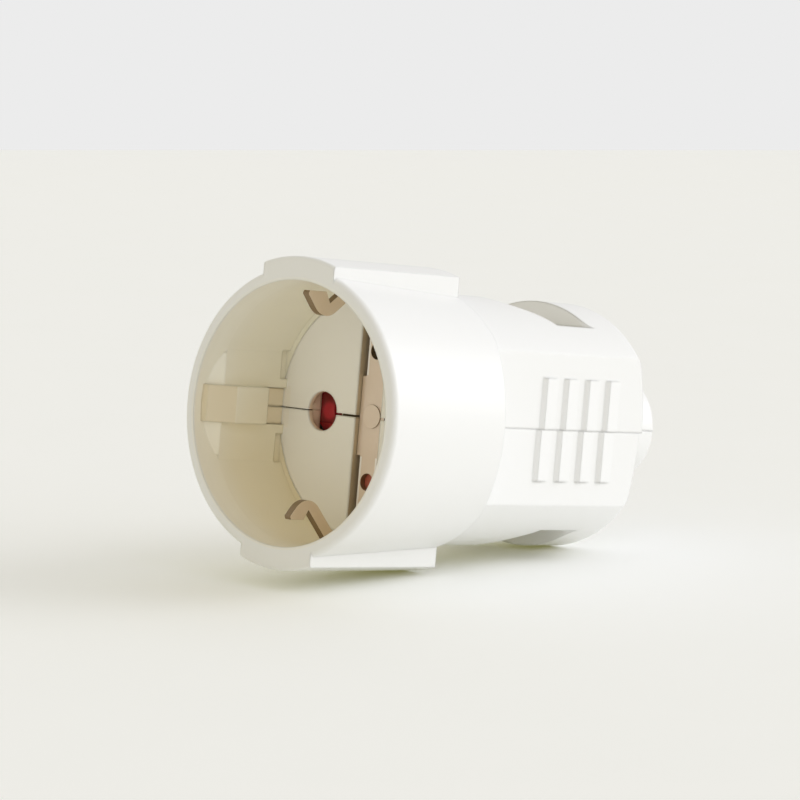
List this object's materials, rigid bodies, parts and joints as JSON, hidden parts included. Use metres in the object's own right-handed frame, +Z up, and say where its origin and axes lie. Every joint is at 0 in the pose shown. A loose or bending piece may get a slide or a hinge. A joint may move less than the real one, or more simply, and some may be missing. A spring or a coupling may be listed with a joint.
{
  "type": "in-line power socket",
  "caption": "White in-line earthed power socket: round plug cavity with side earth hooks, sprung red pin shutter, ribbed grip with finger waist, rear cable entry.",
  "frame": {"origin": "centre of the plug mouth, on the socket's axis", "axes": "+X along the axis from the mouth to the cable end, +Z up towards one earth tab, Y across the two pin holes"},
  "size_m": [0.0759, 0.0432, 0.0462],
  "materials": {
    "sleeve_white": "smooth moulded white",
    "shell_white": "smooth moulded white",
    "shutter_red": "moulded deep red",
    "spring_steel": "drawn wire",
    "earth_metal": "dull plated strip",
    "brass": "bright turned",
    "screw_steel": "zinc plated",
    "clamp_grey": "moulded grey"
  },
  "bodies": {
    "housing": {"front_sleeve": "sleeve_white", "upper_shell": "shell_white", "lower_shell": "shell_white", "shutter_spring": "spring_steel", "earth_bracket": "earth_metal", "earth_terminal": "brass", "earth_screw": "screw_steel", "cord_clamp": "clamp_grey", "pin_contact_left": "brass", "contact_ring_left": "spring_steel", "line_terminal_left": "brass", "line_screw_left": "screw_steel", "clamp_screw_left": "screw_steel", "housing_screw_left": "screw_steel", "pin_contact_right": "brass", "contact_ring_right": "spring_steel", "line_terminal_right": "brass", "line_screw_right": "screw_steel", "clamp_screw_right": "screw_steel", "housing_screw_right": "screw_steel"},
    "slider": {"shutter": "shutter_red"}
  },
  "joints": [
    {"name": "shutter_slide", "type": "slide", "parent": "housing", "child": "slider", "axis": [0, 0, 1], "range_m": [0, 0.006], "stiffness_N_per_m": 60, "springref_m": -0.006, "deforming": ["shutter_spring"]}
  ]
}
